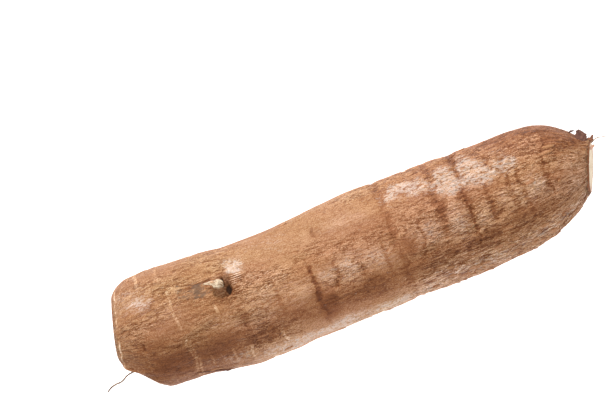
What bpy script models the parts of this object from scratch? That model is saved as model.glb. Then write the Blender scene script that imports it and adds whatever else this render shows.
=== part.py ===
"""A cassava root, trimmed with a knife at both ends and lying on its side.

It grew as one piece, so it is one object: the swollen storage root, the stub of a side root that broke
off in its pit, a dry hair root at the tail, and splinters of the old stalk with a fibre at the stem end.

Metres. +X runs along the root from the tail end to the stem end, +Y across it and +Z up.
The origin is on the surface that the root lies on, below the middle of its length.
"""
import math

import bmesh
import bpy
from mathutils import Matrix, Vector, noise

MM = 0.001

# The storage root: sections along its length, in millimetres. Each is where it is along X, how far its
# middle stands to +Y, its half width, how high its lowest point is, and its half height.
SECTIONS_MM = (
    (-150.0, 4.0, 6.0, 24.0, 6.0),
    (-141.0, 3.5, 14.5, 16.0, 14.0),
    (-135.0, 2.4, 21.7, 9.0, 20.0),
    (-127.0, 2.5, 29.7, 3.4, 26.3),
    (-116.0, 2.0, 32.0, 1.0, 28.8),
    (-98.0, 1.8, 31.9, 0.2, 29.5),
    (-78.0, -1.4, 33.2, -0.5, 30.2),
    (-56.0, -2.6, 32.7, -0.6, 29.9),
    (-34.0, -1.6, 31.9, -0.6, 29.2),
    (-12.0, -1.0, 33.0, -0.6, 30.0),
    (8.0, -0.3, 34.0, -0.6, 30.8),
    (28.0, -0.5, 33.0, -0.6, 30.2),
    (50.0, -0.9, 32.9, -0.5, 30.0),
    (72.0, -1.1, 32.8, 0.2, 29.6),
    (90.0, -0.6, 32.4, 1.0, 29.2),
    (104.0, 1.5, 30.7, 3.0, 27.4),
    (116.0, 2.7, 27.2, 7.6, 24.0),
    (127.0, 2.9, 19.7, 14.2, 18.2),
    (135.0, 1.3, 11.6, 19.4, 13.6),
    (146.0, -3.6, 4.4, 27.0, 5.6),
)
COLUMNS = 12  # cage points round a section
LUMP = 1.3 * MM  # how far the bark swells and sinks between sections
LUMP_SIZE = 42 * MM
SMOOTHING = 2  # levels of subdivision on the cage

# Knife cuts: a point on each, the way it faces, and the half size of the block that cuts it.
TAIL_CUT = (Vector((-136.2, 10.5, 30.0)) * MM, Vector((-0.96, 0.277, 0.03)))
TAIL_CHAMFER = (Vector((-131.6, -17.4, 30.0)) * MM, Vector((-0.707, -0.706, 0.04)))
STEM_CUT = (Vector((133.9, -2.9, 33.0)) * MM, Vector((0.909, -0.36, 0.21)))
UNDERSIDE = (Vector((0.0, 0.0, 0.0)), Vector((0.0, 0.0, -1.0)))
CUTTER_HALF = 0.25

# The pit that a side root grew from, and the stub that is left in it.
PIT_AT = Vector((-72.8, 9.2, 58.4)) * MM
PIT_HALF = Vector((5.6, 4.8, 3.6)) * MM
STUB_ROUTE_MM = (
    ((-72.8, 11.6, 53.0), 2.3),
    ((-73.2, 12.4, 56.8), 2.5),
    ((-74.7, 13.1, 58.8), 2.6),
    ((-77.7, 14.5, 58.8), 1.4),
    ((-81.6, 15.6, 57.6), 0.5),
)

# Fine roots and fibres: the route of each, and its thickness.
TAIL_HAIR_ROUTE_MM = (
    (-130.0, -13.6, 27.5),
    (-134.7, -14.9, 27.9),
    (-138.8, -15.5, 28.0),
    (-141.4, -17.1, 27.5),
    (-143.7, -17.7, 27.0),
    (-146.9, -17.8, 26.4),
    (-149.8, -18.5, 25.8),
    (-152.4, -19.9, 25.2),
)
TAIL_HAIR_THICK = 0.9 * MM
STEM_FIBRE_ROUTE_MM = (
    (133.5, 8.2, 39.6),
    (137.4, 9.0, 40.0),
    (139.9, 10.1, 40.4),
    (142.0, 10.5, 40.6),
    (144.8, 10.1, 40.5),
    (147.6, 9.2, 40.2),
)
STEM_FIBRE_THICK = 0.7 * MM

# Splinters of the old stalk, each a thin plate: its middle, its size and its turn about X, Y and Z.
# The tip is this much of the plate's width.
SPLINTER_TIP = 0.65
SPLINTERS = (
    (Vector((133.0, 13.8, 37.6)) * MM, Vector((8.4, 7.0, 1.2)) * MM, (10.0, 6.0, 40.0)),
    (Vector((137.4, 9.4, 38.2)) * MM, Vector((7.0, 4.6, 1.2)) * MM, (-14.0, 4.0, 48.0)),
    (Vector((129.0, 17.6, 36.4)) * MM, Vector((6.6, 1.3, 1.1)) * MM, (12.0, 4.0, 20.0)),
    (Vector((136.4, 6.6, 41.4)) * MM, Vector((6.4, 2.8, 1.2)) * MM, (8.0, 2.0, 14.0)),
)


def clear_scene():
    for old in list(bpy.data.objects):
        bpy.data.objects.remove(old)


def new_collection(name):
    made = bpy.data.collections.new(name)
    bpy.context.scene.collection.children.link(made)
    return made


def as_helper(shape, helpers):
    """Keeps a cutter, or a shape that is joined to the root, out of the render."""
    for owner in list(shape.users_collection):
        owner.objects.unlink(shape)
    helpers.objects.link(shape)
    shape.hide_render = True
    shape.display_type = "WIRE"
    return shape


def bark_material():
    made = bpy.data.materials.new("bark")
    made.use_nodes = True
    shader = made.node_tree.nodes["Principled BSDF"]
    shader.inputs["Base Color"].default_value = (0.42, 0.24, 0.14, 1.0)
    shader.inputs["Roughness"].default_value = 0.55
    shader.inputs["Metallic"].default_value = 0.0
    return made


def storage_root(into):
    """The swollen root: a flat grid rolled into a tube through the sections, closed and subdivided."""
    # A subdivided ring settles inside its cage points, so the cage stands out by this much.
    stand_out = 6 / (4 + 2 * math.cos(2 * math.pi / COLUMNS))
    cage = bmesh.new()
    bmesh.ops.create_grid(cage, x_segments=len(SECTIONS_MM) - 1, y_segments=COLUMNS, size=0.5)
    for vertex in cage.verts:
        row = round((vertex.co.x + 0.5) * (len(SECTIONS_MM) - 1))
        turn = 2 * math.pi * (vertex.co.y + 0.5)
        along, aside, half_width, lowest, half_height = (size * MM for size in SECTIONS_MM[row])
        point = Vector((
            along,
            aside + stand_out * half_width * math.cos(turn),
            lowest + half_height + stand_out * half_height * math.sin(turn),
        ))
        outwards = Vector((0.0, math.cos(turn), math.sin(turn)))
        # The lumps fade out on the underside, which bears on the table.
        above = 0.5 + 0.5 * math.sin(turn)
        vertex.co = point + outwards * LUMP * above * noise.noise(point / LUMP_SIZE)
    bmesh.ops.remove_doubles(cage, verts=cage.verts, dist=0.01 * MM)
    bmesh.ops.holes_fill(cage, edges=cage.edges, sides=COLUMNS)
    bmesh.ops.recalc_face_normals(cage, faces=cage.faces)
    mesh = bpy.data.meshes.new("cassava_root")
    cage.to_mesh(mesh)
    cage.free()
    mesh.shade_smooth()
    root = bpy.data.objects.new("cassava_root", mesh)
    into.objects.link(root)
    smooth = root.modifiers.new("smooth", "SUBSURF")
    smooth.levels = smooth.render_levels = SMOOTHING
    return root


def knife(name, at, facing, helpers):
    """A block whose one face is a flat cut through a point, facing the given way out of the root."""
    bpy.ops.mesh.primitive_cube_add(size=2 * CUTTER_HALF)
    block = bpy.context.object
    block.name = name
    facing = facing.normalized()
    block.rotation_euler = facing.to_track_quat("Z", "Y").to_euler()
    block.location = at + facing * CUTTER_HALF
    return as_helper(block, helpers)


def pit_cutter(helpers):
    bm = bmesh.new()
    bmesh.ops.create_uvsphere(bm, u_segments=20, v_segments=12, radius=1.0)
    bmesh.ops.scale(bm, vec=PIT_HALF, verts=bm.verts)
    mesh = bpy.data.meshes.new("pit")
    bm.to_mesh(mesh)
    bm.free()
    pit = bpy.data.objects.new("pit", mesh)
    helpers.objects.link(pit)
    pit.location = PIT_AT
    return as_helper(pit, helpers)


def rod(name, route_mm, thick, helpers, swell=None):
    """A round root along a route, as a closed mesh. swell gives its own radius at each point."""
    line = bpy.data.curves.new(name, "CURVE")
    line.dimensions = "3D"
    line.bevel_depth = thick / 2
    line.bevel_resolution = 2
    line.use_fill_caps = True
    spline = line.splines.new("POLY")
    spline.points.add(len(route_mm) - 1)
    for index, place in enumerate(route_mm):
        spline.points[index].co = (*(Vector(place) * MM), 1.0)
        if swell:
            spline.points[index].radius = swell[index]
    curve = bpy.data.objects.new(name + "_line", line)
    helpers.objects.link(curve)
    bpy.context.view_layer.update()
    mesh = bpy.data.meshes.new_from_object(curve.evaluated_get(bpy.context.evaluated_depsgraph_get()))
    bm = bmesh.new()
    bm.from_mesh(mesh)
    bmesh.ops.remove_doubles(bm, verts=bm.verts, dist=0.005 * MM)
    bmesh.ops.recalc_face_normals(bm, faces=bm.faces)
    bm.to_mesh(mesh)
    bm.free()
    made = bpy.data.objects.new(name, mesh)
    helpers.objects.link(made)
    made.matrix_world = curve.matrix_world
    bpy.data.objects.remove(curve)
    return as_helper(made, helpers)


def side_root_stub(helpers):
    places = [place for place, _ in STUB_ROUTE_MM]
    radii = [radius for _, radius in STUB_ROUTE_MM]
    return rod("side_root_stub", places, 2 * MM, helpers, swell=radii)


def splinter(index, at, size, turn, helpers):
    """A thin plate of dead stalk, narrowed to a broken tip."""
    bm = bmesh.new()
    bmesh.ops.create_cube(bm, size=1.0)
    for vertex in bm.verts:
        if vertex.co.x > 0:
            vertex.co.y *= SPLINTER_TIP
    bmesh.ops.scale(bm, vec=size, verts=bm.verts)
    mesh = bpy.data.meshes.new(f"splinter_{index}")
    bm.to_mesh(mesh)
    bm.free()
    plate = bpy.data.objects.new(f"splinter_{index}", mesh)
    helpers.objects.link(plate)
    plate.location = at
    plate.rotation_euler = [math.radians(angle) for angle in turn]
    return as_helper(plate, helpers)


def combine(root, other, operation):
    step = root.modifiers.new(f"{operation.lower()}_{other.name}", "BOOLEAN")
    step.operation = operation
    step.solver = "EXACT"
    step.object = other


def build():
    clear_scene()
    product = new_collection("cassava")
    helpers = new_collection("cutters")
    root = storage_root(product)
    root.data.materials.append(bark_material())
    combine(root, pit_cutter(helpers), "DIFFERENCE")
    joined = [
        side_root_stub(helpers),
        rod("tail_hair", TAIL_HAIR_ROUTE_MM, TAIL_HAIR_THICK, helpers),
        rod("stem_fibre", STEM_FIBRE_ROUTE_MM, STEM_FIBRE_THICK, helpers),
    ]
    joined += [splinter(i, *sizes, helpers) for i, sizes in enumerate(SPLINTERS, 1)]
    cuts = {
        "tail_cut": TAIL_CUT,
        "tail_chamfer": TAIL_CHAMFER,
        "stem_cut": STEM_CUT,
        "underside": UNDERSIDE,
    }
    for name, (at, facing) in cuts.items():
        combine(root, knife(name, at, facing, helpers), "DIFFERENCE")
    for shape in joined:
        combine(root, shape, "UNION")


build()
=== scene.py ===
import math

import bmesh
import bpy
import numpy as np
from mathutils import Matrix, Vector, noise
from mathutils.bvhtree import BVHTree


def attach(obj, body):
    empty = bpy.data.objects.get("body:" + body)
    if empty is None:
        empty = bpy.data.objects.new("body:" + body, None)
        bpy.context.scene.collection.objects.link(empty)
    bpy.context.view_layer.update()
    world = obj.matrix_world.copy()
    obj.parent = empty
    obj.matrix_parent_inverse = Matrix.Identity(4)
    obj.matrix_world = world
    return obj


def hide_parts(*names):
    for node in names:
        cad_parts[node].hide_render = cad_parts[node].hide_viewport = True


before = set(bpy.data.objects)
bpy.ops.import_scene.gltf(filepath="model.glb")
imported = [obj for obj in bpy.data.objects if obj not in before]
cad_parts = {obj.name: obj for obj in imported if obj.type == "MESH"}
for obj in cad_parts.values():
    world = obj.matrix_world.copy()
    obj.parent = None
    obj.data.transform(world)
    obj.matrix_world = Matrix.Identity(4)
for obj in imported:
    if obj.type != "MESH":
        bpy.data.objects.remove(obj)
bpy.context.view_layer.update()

# ----------------------------------------
# The bark. A thin brown skin of fibrous cork over the whole storage root, from the knife cut at the
# tail end to the one at the stem end. It grew in place, and is creased by rings, wrinkles and cracks.
MM = 0.001
ROWS = 352  # rings of points, from the tail cut to the stem cut
COLUMNS = 280  # lines of points along the root; the first and last meet on its underside
TAIL_MIDDLE = np.array((3.0, 30.0))  # where the root's middle meets each cut, to +Y and up, in mm
STEM_MIDDLE = np.array((-2.9, 33.0))
GIRTH = 33.0  # the root's usual radius, in mm
LENGTH = 275.0  # from cut to cut, in mm
TAIL_TIP = -140.0  # where the bark starts along X, in mm; "along" is counted from here

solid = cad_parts["cassava_root"].data
hull = BVHTree.FromPolygons([v.co for v in solid.vertices], [f.vertices for f in solid.polygons])


def knife_cut(way):
    """The flat cut that faces about this way: its normal, and its distance from the origin in mm."""
    way = Vector(way).normalized()
    facing = [face for face in solid.polygons if face.normal.dot(way) > 0.98]
    flat = max(facing, key=lambda face: face.area)
    return np.array(flat.normal), flat.normal.dot(flat.center) / MM


tail_cut = knife_cut((-0.96, 0.28, 0.0))
corner_cut = knife_cut((-0.75, -0.66, 0.0))
stem_cut = knife_cut((0.9, -0.36, 0.26))


def on_cut(cut, aside, up):
    """How far along X a cut is, at this place across the root."""
    normal, distance = cut
    return (distance - normal[1] * aside - normal[2] * up) / normal[0]


def ramp(value, start=0.0, end=1.0):
    """0 up to the start and 1 from the end on, with a smooth climb between them."""
    value = np.clip((value - start) / (end - start), 0.0, 1.0)
    return value * value * (3.0 - 2.0 * value)


def hump(value, middle, half_width):
    """1 in the middle, and falling off to 0 on both sides."""
    return np.exp(-((value - middle) / half_width) ** 2)


tail_point = np.array((on_cut(tail_cut, *TAIL_MIDDLE), *TAIL_MIDDLE))
stem_point = np.array((on_cut(stem_cut, *STEM_MIDDLE), *STEM_MIDDLE))
turn = np.linspace(-math.pi, math.pi, COLUMNS, endpoint=False)  # 0 on top, and it grows towards +Y
END_SHARE = 0.16  # the part of the root at each end over which its rings lean over to lie along the cut


def rays(share):
    """Where the rays of a ring start, and the way they go, at this share of the way to the stem cut."""
    share = np.asarray(share)
    at_tail = ramp(share, END_SHARE, 0.0)[..., None]
    at_stem = ramp(share, 1.0 - END_SHARE, 1.0)[..., None]
    facing = -tail_cut[0] * at_tail + stem_cut[0] * at_stem
    facing = facing + np.array((1.0, 0.0, 0.0)) * (1.0 - at_tail - at_stem)
    start = tail_point + (stem_point - tail_point) * share[..., None]
    lean = -(facing[..., 1] * np.sin(turn) + facing[..., 2] * np.cos(turn)) / facing[..., 0]
    return start, np.stack((lean, np.sin(turn) + 0 * share, np.cos(turn) + 0 * share), axis=-1)


def reach(start, way):
    """How many times its length the way goes before it leaves the root."""
    length = np.linalg.norm(way)
    hit = hull.ray_cast(Vector(start * MM), Vector(way))[0]
    return np.linalg.norm(np.array(hit) / MM - start) / length


def past_corner(share, column):
    """Whether the bark has come to the bevelled corner, at this share of the way and line of points."""
    start, way = (part[column] for part in rays(np.full(COLUMNS, share)))
    point = start + way * reach(start, way)
    return corner_cut[0] @ point > corner_cut[1] - 0.02


# Each line of points starts where the bark does: at the tail cut, or at the bevelled corner beside it.
CORNER_SHARE = 0.2  # the bevelled corner ends before this share of the way
HALVINGS = 9
first = np.zeros(COLUMNS)
for column in range(COLUMNS):
    if past_corner(0.001, column):
        low, high = 0.0, CORNER_SHARE
        for _ in range(HALVINGS):
            middle = (low + high) / 2
            low, high = (middle, high) if past_corner(middle, column) else (low, middle)
        first[column] = high

# The rings stand closer together at the ends, where the bark turns in, and at the side root's pit.
PIT_ALONG, PIT_REACH, END_REACH = 66.8, 9.0, 0.05
shares = np.linspace(0.0, 1.0, 2000)
crowd = 1 + hump(shares, 0, END_REACH) + hump(shares, 1, END_REACH)
crowd += 0.7 * hump(shares * LENGTH, PIT_ALONG, PIT_REACH)
pace = np.cumsum(crowd) - crowd[0]
ring_share = np.interp(np.linspace(0, pace[-1], ROWS), pace, shares)[:, None]
share = ring_share + first * np.clip(1 - ring_share / CORNER_SHARE, 0, 1) ** 1.5
start, way = rays(np.clip(share, 0.0008, 0.9992))  # the end rings stay a hair inside the cuts
distance = np.empty((ROWS, COLUMNS))
for ring in range(ROWS):
    for column in range(COLUMNS):
        distance[ring, column] = reach(start[ring, column], way[ring, column])

# The stub, its pit and the splinters are pieces of their own, so the bark is carried on across them.
STUB_PLACE, STUB_REACH = (-76.0, 10.5), (10.5, 8.0)  # along and across, in mm
TOP_SIDE = 45.0  # what is higher than this is on the upper side
BEFORE_SPLINTERS = (123.0, 3.5, 33.0)  # they stand beyond this, along, across and up
found = start + way * distance[..., None]
hidden = (abs(found[..., :2] - STUB_PLACE) < STUB_REACH).all(axis=-1) & (found[..., 2] > TOP_SIDE)
hidden |= (found > BEFORE_SPLINTERS).all(axis=-1)


def ring_pad(grid, rows, columns):
    """The grid with its end rings repeated and its lines of points carried on round the root."""
    grid = np.pad(grid, ((rows, rows), (0, 0)), mode="edge")
    return np.pad(grid, ((0, 0), (columns, columns)), mode="wrap")


rings, lines = np.arange(ROWS), np.arange(COLUMNS)
for ring in np.flatnonzero(hidden.any(axis=1) & (rings > ROWS // 2)):
    gap = hidden[ring]
    distance[ring, gap] = np.interp(lines[gap], lines[~gap], distance[ring, ~gap], period=COLUMNS)
for column in np.flatnonzero(hidden[:ROWS // 2].any(axis=0)):
    gap = hidden[:, column] & (rings < ROWS // 2)
    distance[gap, column] = np.interp(rings[gap], rings[~gap], distance[~gap, column])
SETTLING = 300  # rounds of evening out what the gaps are filled with
for _ in range(SETTLING):
    wide = ring_pad(distance, 1, 1)
    mean = (wide[2:, 1:-1] + wide[:-2, 1:-1] + wide[1:-1, 2:] + wide[1:-1, :-2]) / 4
    distance[hidden] = mean[hidden]


def blurred(grid, rows, columns):
    """The grid smoothed over about this many rings and lines of points."""
    for spread, axis in ((rows, 0), (columns, 1)):
        reach_out = int(3 * spread) + 1
        steps = np.arange(-reach_out, reach_out + 1)
        weights = np.exp(-(steps / spread) ** 2 / 2)
        weights /= weights.sum()
        wide = ring_pad(grid, reach_out * (axis == 0), reach_out * (axis == 1))
        grid = sum(w * np.roll(wide, -s, axis) for w, s in zip(weights, steps))
        cut = [slice(None), slice(None)]
        cut[axis] = slice(reach_out, -reach_out)
        grid = grid[tuple(cut)]
    return grid


distance = blurred(distance, rows=2.5, columns=3.0)
start, way = rays(share)
skin = start + way * distance[..., None]
RUBBED = 4.6  # how far the edge between the tail cut and its bevelled corner is rounded over, in mm


def on_tail(aside, up):
    """How far along X the tail end is, over its cut and the bevelled corner beside it."""
    cut, corner = on_cut(tail_cut, aside, up), on_cut(corner_cut, aside, up)
    return (cut + corner + np.sqrt((cut - corner) ** 2 + RUBBED ** 2)) / 2


def on_stem(aside, up):
    """How far along X the stem cut is."""
    return on_cut(stem_cut, aside, up)


def outward(points):
    """The way that the bark faces at each of its points."""
    round_the_root = np.roll(points, -1, axis=1) - np.roll(points, 1, axis=1)
    facing = np.cross(np.gradient(points, axis=0), round_the_root)
    return facing / np.linalg.norm(facing, axis=-1, keepdims=True)


# The smoothing moved the tail ends of the lines off the cuts, and they are put back.
REACHED = 14  # rings of points that share the move
off = on_tail(skin[0, :, 1], skin[0, :, 2]) - skin[0, :, 0]
skin[:REACHED, :, 0] += off * np.linspace(1, 0, REACHED)[:, None] ** 2

facing = outward(skin)
along = skin[..., 0] - TAIL_TIP
degrees = np.degrees(turn)[None, :] + 0 * along
ROW_STEP, COLUMN_STEP = 0.8, 2 * math.pi * GIRTH / COLUMNS  # mm between neighbouring points


def grown(length, width, seed):
    """An uneven field over the bark, its waves about this long and this wide, in mm."""
    grain = np.fft.fft2(np.random.default_rng(seed).standard_normal((ROWS, COLUMNS)))
    pitch = (np.fft.fftfreq(ROWS, ROW_STEP)[:, None] * length) ** 2
    pitch = pitch + (np.fft.fftfreq(COLUMNS, COLUMN_STEP)[None] * width) ** 2
    grain = np.fft.ifft2(grain * np.exp(-pitch * math.pi ** 2 / 8)).real
    return grain / grain.std()


def plateau(value, middle, half_width):
    """1 near the middle, and falling off steeply to 0 on both sides."""
    return np.exp(-((value - middle) / half_width) ** 4)


def turns_from(middle, degrees):
    """How far round the root a turn is from another, the short way, in degrees."""
    return (degrees - middle + 180) % 360 - 180


def creases(length, width, seed):
    """Thin wandering lines along the bark, 1 on a line and 0 between lines."""
    return hump(grown(length, width, seed), 0, 0.35)


# Rings that grew across the root. For each: mm from the tail tip, the turns it spans, its half width and
# depth in mm, and how dark and how pale it is. Turns are in degrees from the top, towards +Y.
RINGS = (
    (24.6, 52, 83, 0.8, -0.1, 0, 0.5), (36.5, 47, 75, 0.7, -0.08, 0, 0.42),
    (38.6, -12, 39, 0.8, -0.12, 0, 0.42), (39.1, -90, -19, 0.7, 0.15, 0.3, 0.9),
    (41.1, -87, -21, 0.7, 0.05, 0.2, 0.8), (16.4, -51, -7, 0.7, 0.18, 0.5, 0.5),
    (17, -22, -10, 0.8, 0.5, 1.3, 0), (48.8, -65, -39, 0.7, 0.05, 0, 0.5),
    (60.5, -69, -44, 0.8, 0.05, 0, 0.45), (61.2, -13, 5, 0.7, 0, 0, 0.5),
    (69.9, -73, -47, 0.8, 0.1, 0.1, 0.6), (88.7, -65, -41, 0.8, 0.08, 0.1, 0.6),
    (73, -60, -3, 1.4, 0.12, 0.35, 0), (113.2, -36, 10, 1.3, 0.55, 1, 0),
    (113.5, -70, -34, 1.2, 0.25, 0.5, 0), (125.2, -26, -9, 1, 0.3, 0.6, 0),
    (122, 35, 53, 1.2, 0.25, 0.55, 0), (161.6, -180, 180, 1.9, 0.45, 0.45, 0),
    (162.9, 14, 89, 1.2, 0.15, 0.4, 0), (188.2, -14, 44, 2.4, 0.3, 0.5, 0),
    (189.9, 46, 92, 2, 0.45, 0.6, 0), (203.4, -40, 33, 0.9, 0.45, 0.9, 0),
    (204.6, 40, 100, 1.7, 0.8, 0.6, 0), (221, 39, 62, 0.8, 0.2, 0.5, 0),
    (235.3, 36, 74, 0.6, 0.25, 0.5, 0), (215, -19, 28, 1.4, 0.25, 0.55, 0),
    (227.6, -20, 53, 1.6, 0.2, 0.4, 0), (234.4, -36, 33, 1.2, 0.3, 0.6, 0),
    (248.7, 17, 46, 0.5, 0.35, 0.9, 0), (248.3, -13, 18, 1, 0.4, 0.9, 0),
    (126.3, -26, 8, 0.9, 0.1, 0.45, 0), (140.9, -42, -3, 1, 0.08, 0.4, 0),
    (154.1, -31, 16, 1, 0.08, 0.35, 0), (174.4, -26, 15, 1, 0.1, 0.4, 0),
    (93.2, -34, 12, 1, 0.05, 0.3, 0),
)

# The rest of the root, round its sides and below, has the same kinds of ring at random.
MORE_RINGS = 26
luck = np.random.default_rng(7)
more_rings = []
for _ in range(MORE_RINGS):
    centre = luck.uniform(95, 265)
    half = luck.uniform(10, 40)
    pale = luck.random() < 0.45
    more_rings.append((
        luck.uniform(12, 262), centre - half, centre + half, luck.uniform(0.6, 1.3),
        luck.uniform(0.1, 0.4), 0.0 if pale else luck.uniform(0.4, 0.9), 0.45 if pale else 0.0,
    ))

uneven_along = along + 0.45 * grown(4, 2.2, 11) + 0.5 * grown(12, 8, 12)
steady_along = along + 0.12 * grown(4, 2.2, 11) + 0.4 * grown(14, 10, 12)
uneven_degrees = degrees + 2.5 * grown(16, 10, 14)
patchy = (0.8 + 0.3 * grown(2.4, 2.0, 13)).clip(0.15, 1.2)

# The bark is coarser towards the stem and round the pit, and finer high up at the waist.
rough_places = 0.46 + 0.2 * grown(30, 16, 15) + 0.55 * ramp(along, 160, 200)
rough_places -= 0.5 * plateau(along, 122, 36) * plateau(degrees, 48, 24)
rough_places += 0.3 * hump(along, 80, 14) * hump(degrees, 14, 14)
rough_places -= 0.15 * hump(along, 44, 22) * hump(degrees, 38, 22)
rough_places = ramp(rough_places)

# It is lumpy and wrinkled all over, and shaggy low down towards the stem.
relief = 0.22 * grown(40, 30, 1) + 0.13 * grown(14, 7, 2) - 0.05
wrinkles = creases(12, 3.0, 3) + 0.7 * creases(7, 2.0, 4)
relief -= (0.07 + 0.15 * rough_places) * wrinkles
relief -= 0.05 * np.abs(grown(4, 1.8, 5))
relief += 0.16 * ramp(along, 140, 180) * hump(degrees, -72, 32) * grown(5, 1.6, 6)

# How far each point is from the nearest dark and pale ring, in half widths of it, and how strong that is.
ALL_ROUND, FADE = 360, 4  # in degrees; a ring that does not go all round fades out over its ends
from_dark, from_pale = np.full_like(along, 9.0), np.full_like(along, 9.0)
dark, pale, ringed = np.zeros_like(along), np.zeros_like(along), np.zeros_like(along)
for at, turn_from, turn_to, half_width, depth, darkness, paleness in RINGS + tuple(more_rings):
    middle = (turn_from + turn_to) / 2
    around = turns_from(middle, degrees)
    within = ramp((turn_to - turn_from) / 2 - abs(around), -FADE, FADE)
    if turn_to - turn_from >= ALL_ROUND:
        within = np.ones_like(along)
    gap = abs((steady_along if paleness else uneven_along) - at) / half_width
    relief -= depth * within * (hump(gap, 0, 1) + 0.45 * hump(gap, 0, 3.5))
    ringed = np.maximum(ringed, within * hump(gap, 0, 1.3))
    if darkness:
        from_dark = np.minimum(from_dark, gap + 3 * (1 - within))
        dark = np.maximum(dark, darkness * within * hump(gap, 0, 3) * patchy)
    if paleness:
        from_pale = np.minimum(from_pale, gap + 3 * (1 - within))
        pale = np.maximum(pale, paleness * within * hump(gap, 0, 3) * patchy)


def soft_patch(at, turn_at, half_length, half_turn):
    """1 inside a patch of the bark round a place, fading to 0 over its edge."""
    aside = turns_from(turn_at, uneven_degrees)
    across = ((uneven_along - at) / half_length) ** 2 + (aside / half_turn) ** 2
    return np.exp(-across ** 1.5)


def patches(table):
    """All the soft patches of a table, each as strong as its row says."""
    return np.array([strength * soft_patch(*place) for *place, strength in table])


# Where the waxy bloom has not been rubbed off, with painted highlights over it: the band of sheen along the
# middle of the upper side, and a painted reflection of the white floor along the lower edge towards -Y.
# Columns: mm from the tail tip, turn, half length, half turn, and how thick it is.
BLOOM_AND_PAINTED_HIGHLIGHT = (
    (77, 39, 4.2, 8, 1.15), (74.5, 47, 4, 5, 0.8), (22.5, 35, 9, 13, 0.76), (20, 40, 14, 22, 0.42),
    (15.6, 53, 8, 10, 0.5),
    (98.4, 55, 20, 12, 0.35), (121.1, -10, 6.4, 7, 0.54), (131.8, -11, 8.8, 9, 0.54),
    (148.4, -8, 8.8, 9, 0.54), (177.7, -2, 6.4, 11, 0.56), (196.3, -4, 4, 19, 0.56),
    (242.2, 8, 4.8, 11, 0.58), (105.1, -73, 40, 10, 0.9), (149.8, -70, 30, 10, 0.8),
    (60.7, -61, 14, 8, 0.5), (199.3, -63, 34, 10, 0.55), (233.8, -59, 18, 12, 0.5),
    (248.6, -59, 14, 18, 0.5), (60, 120, 24, 18, 0.5), (190, 150, 30, 16, 0.5), (130, -150, 26, 20, 0.5),
    (230, -110, 16, 14, 0.5),
)
# One long patch of it, with a painted highlight over it, lies on the upper side near the stem: mm from the
# tail tip, and the turns it spans.
LONG_BLOOM_AND_PAINTED_HIGHLIGHT = np.array((
    (162, 50, 56), (166, 43, 58), (169, 45, 64), (176, 46, 63), (182, 43, 63), (186, 40, 61),
    (189, 38, 54), (191, 36, 48), (192, 31, 53), (196, 29, 66), (199, 30, 66), (202, 32, 61),
    (204, 33, 40), (205, 33, 40), (207, 30, 70), (212, 29, 68), (215, 29, 60), (219, 29, 51),
    (222, 31, 45), (225, 32, 48), (232, 32, 51), (234, 32, 50), (238, 42, 48),
))
lower, upper = (np.interp(uneven_along, LONG_BLOOM_AND_PAINTED_HIGHLIGHT[:, 0], LONG_BLOOM_AND_PAINTED_HIGHLIGHT[:, side]) for side in (1, 2))
inside = np.minimum(uneven_degrees - lower, upper - uneven_degrees)
bloom_and_painted_highlight = (0.66 + inside / 14 + 0.1 * grown(6, 4, 18)).clip(0, 0.86)
bloom_and_painted_highlight *= ramp(uneven_along, 158, 163) * ramp(uneven_along, 239, 234)
bloom_and_painted_highlight = np.maximum(bloom_and_painted_highlight, patches(BLOOM_AND_PAINTED_HIGHLIGHT).max(axis=0)) * (1 - 0.2 * ringed)

# Smooth, waxy places that take a shine: the same again, and how smooth. Their colour is also made paler and
# streaked with pale pink, a painted sheen.
SMOOTH = (
    (88.8, -9, 13.8, 14, 0.8), (102.5, -14, 11.5, 14, 0.9), (121.1, -10, 9.2, 12, 0.9),
    (131.8, -11, 12.6, 14, 1), (148.4, -8, 12.6, 14, 0.9), (177.7, -2, 9.2, 16, 0.9),
    (196.3, -4, 5.8, 24, 0.9), (210, -10, 6.9, 14, 0.9), (226.5, 0, 8, 16, 0.8), (242.2, 8, 6.9, 16, 0.9),
    (233.4, -4, 5.8, 12, 0.9), (82.9, -26, 13.8, 10, 0.6), (61.4, -18, 9.2, 8, 0.6),
    (34.1, 13, 11.5, 12, 0.6), (139.7, 40, 16.1, 12, 0.5), (77, 39, 5, 9, 1), (21, 33, 10, 13, 0.8),
    (200, 46, 30, 20, 0.8), (100, -14, 30, 14, 0.5),
)
smooth = patches(SMOOTH).max(axis=0) * (1 - 0.6 * ringed)
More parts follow.
